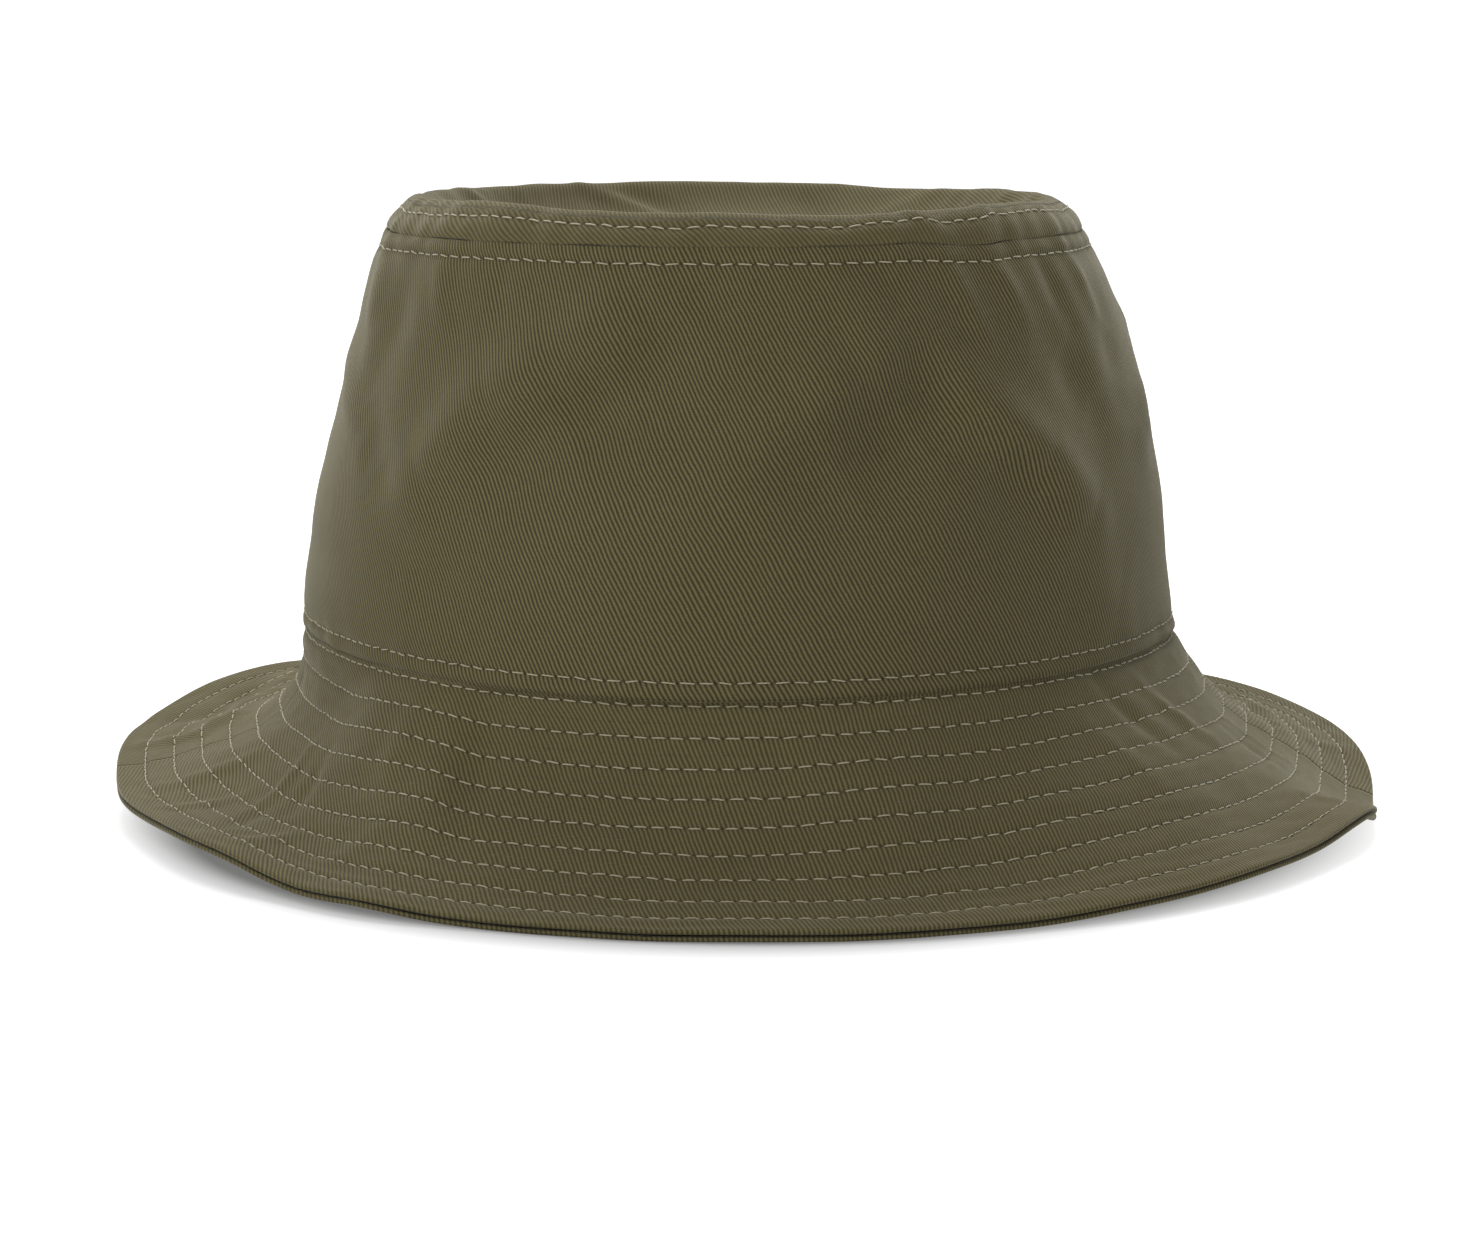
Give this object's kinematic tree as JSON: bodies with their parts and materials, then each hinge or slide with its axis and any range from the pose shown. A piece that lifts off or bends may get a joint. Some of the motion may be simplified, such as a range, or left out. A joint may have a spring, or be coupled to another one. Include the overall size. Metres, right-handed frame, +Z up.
{
  "type": "bucket hat",
  "caption": "Cotton twill bucket hat with a flat sunken top, a two-panel crown and a downturned brim quilted with rings of stitching.",
  "frame": {"origin": "centre of the brim's outline, on the plane that the brim stands on", "axes": "+Z up through the crown, -Y towards the front of the hat, +X to the wearer's left"},
  "size_m": [0.272, 0.278, 0.1316],
  "materials": {
    "twill": "olive cotton twill, matt with a light fuzz",
    "interlining": "stiff non-woven",
    "sweatband_cotton": "fine olive cotton",
    "binding_tape": "plain woven tape",
    "thread": "matt spun thread, a little lighter than the cloth",
    "label_satin": "off-white satin"
  },
  "bodies": {
    "hat": {"crown_tip": "twill", "side_panel_front": "twill", "side_panel_back": "twill", "upper_brim_front": "twill", "upper_brim_back": "twill", "under_brim_front": "twill", "under_brim_back": "twill", "brim_interlining": "interlining", "sweatband": "sweatband_cotton", "crown_seam_tape": "binding_tape", "side_seam_tape_left": "binding_tape", "side_seam_tape_right": "binding_tape", "tip_topstitch": "thread", "side_topstitch": "thread", "crown_topstitch": "thread", "brim_stitch_row_1": "thread", "brim_stitch_row_2": "thread", "brim_stitch_row_3": "thread", "brim_stitch_row_4": "thread", "brim_stitch_row_5": "thread", "brim_stitch_row_6": "thread", "brim_stitch_row_7": "thread", "brim_stitch_row_8": "thread", "brim_stitch_row_9": "thread", "sweatband_stitch": "thread"},
    "label": {"care_label": "label_satin"}
  },
  "joints": [
    {"name": "label_flip", "type": "hinge", "parent": "hat", "child": "label", "pos_m": [0, 0.08725, 0.0665], "axis": [-1, 0, 0], "range_deg": [0, 150]}
  ]
}
